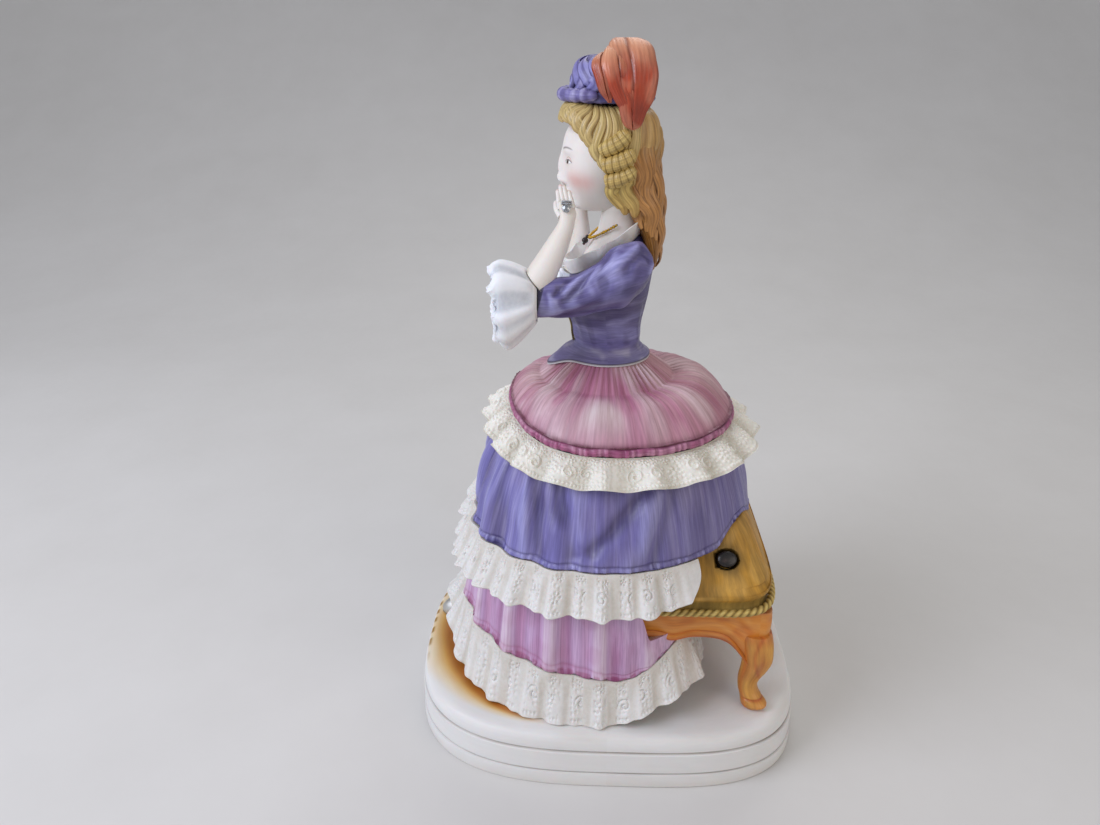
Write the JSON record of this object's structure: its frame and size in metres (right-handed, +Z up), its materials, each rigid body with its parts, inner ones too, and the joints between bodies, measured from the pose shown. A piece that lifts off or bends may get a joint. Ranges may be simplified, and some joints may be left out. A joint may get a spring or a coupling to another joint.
{
  "type": "musical porcelain figurine with a turning upper body",
  "caption": "Porcelain lady in a tiered, lace-edged gown beside a cushioned stool; her upper body turns on a clockwork movement in the plinth.",
  "frame": {"origin": "middle of the plinth's underside", "axes": "+Z up; the lady faces -Y and her left side is +X"},
  "size_m": [0.1552, 0.1812, 0.3065],
  "materials": {
    "bisque": "satin",
    "white_lace": "satin",
    "cream_lace": "satin",
    "violet_glaze": "satin",
    "mauve_glaze": "satin",
    "lower_mauve": "satin",
    "piping_magenta": "satin",
    "gold_lustre": "metallic",
    "wood_glaze": "satin",
    "hair_glaze": "satin",
    "plume_glaze": "satin",
    "yellow_glaze": "satin",
    "silver_lustre": "metallic",
    "dark_glaze": "gloss",
    "black_button": "gloss",
    "brass": "satin",
    "steel": "brushed",
    "dark_plate": "matte"
  },
  "bodies": {
    "figurine": {"plinth": "bisque", "bottom_plate": "dark_plate", "plate_screws": "steel", "bedplate": "brass", "movement_screws": "steel", "drum_bearings": "brass", "comb": "steel", "click": "steel", "governor_bracket": "brass", "lever_post": "brass", "stool_frame": "wood_glaze", "stool_leg_left": "wood_glaze", "stool_leg_right": "wood_glaze", "stool_cushion": "gold_lustre", "cushion_braid": "gold_lustre", "button_bush": "brass", "lower_flounce": "lower_mauve", "lower_lace": "white_lace", "middle_skirt": "violet_glaze", "middle_lace": "white_lace", "overskirt": "mauve_glaze", "overskirt_piping": "piping_magenta", "overskirt_lace": "cream_lace", "waist_bush": "brass", "shoe": "silver_lustre"},
    "torso": {"spindle": "steel", "spring_barrel": "brass", "mainspring": "steel", "torso_hub": "brass", "bodice": "violet_glaze", "stomacher": "yellow_glaze", "sleeve_left": "violet_glaze", "sleeve_right": "violet_glaze", "cuff_left": "white_lace", "cuff_right": "white_lace", "forearm_left": "bisque", "forearm_right": "bisque", "collar": "white_lace", "bust": "bisque", "head": "bisque", "hair": "hair_glaze", "ringlets": "hair_glaze", "back_hair": "hair_glaze", "hat": "violet_glaze", "plume": "plume_glaze", "necklace": "gold_lustre", "pendant": "dark_glaze", "ring": "silver_lustre"},
    "key": {"winding_key": "brass", "winding_arbor": "steel", "ratchet_wheel": "steel"},
    "drum": {"pinned_drum": "brass"},
    "second": {"second_wheel": "brass"},
    "governor": {"governor_fan": "brass"},
    "button": {"start_button": "black_button", "button_stem": "steel", "button_spring": "steel"},
    "lever": {"stop_lever": "steel"}
  },
  "joints": [
    {"name": "torso_turn", "type": "hinge", "parent": "figurine", "child": "torso", "pos_m": [0, -0.0025, 0.178], "axis": [0, 0, 1], "continuous": true},
    {"name": "key_turn", "type": "hinge", "parent": "figurine", "child": "key", "pos_m": [0, -0.0025, 0.015], "axis": [0, 0, 1], "continuous": true},
    {"name": "drum_spin", "type": "hinge", "parent": "figurine", "child": "drum", "pos_m": [-0.03, -0.0025, 0.0347], "axis": [1, 0, 0], "continuous": true},
    {"name": "second_spin", "type": "hinge", "parent": "figurine", "child": "second", "pos_m": [0.01827, -0.01305, 0.025], "axis": [0, 0, 1], "continuous": true},
    {"name": "governor_spin", "type": "hinge", "parent": "figurine", "child": "governor", "pos_m": [0.03222, -0.00727, 0.025], "axis": [0, 0, 1], "continuous": true},
    {"name": "button_press", "type": "slide", "parent": "figurine", "child": "button", "axis": [-0.766, 0, -0.6428], "range_m": [0, 0.0015], "stiffness_N_per_m": 400, "springref_m": -0.0005, "deforming": ["button_spring"]},
    {"name": "lever_rock", "type": "hinge", "parent": "figurine", "child": "lever", "pos_m": [0.03222, -0.01647, 0.08891], "axis": [1, 0, 0], "range_deg": [-1, 0.2]}
  ],
  "couplings": [
    {"joint": "drum_spin", "follows": "torso_turn", "ratio": -4},
    {"joint": "second_spin", "follows": "torso_turn", "ratio": -4},
    {"joint": "governor_spin", "follows": "torso_turn", "ratio": 16},
    {"joint": "lever_rock", "follows": "button_press", "rad_per_m": -9.6701}
  ]
}
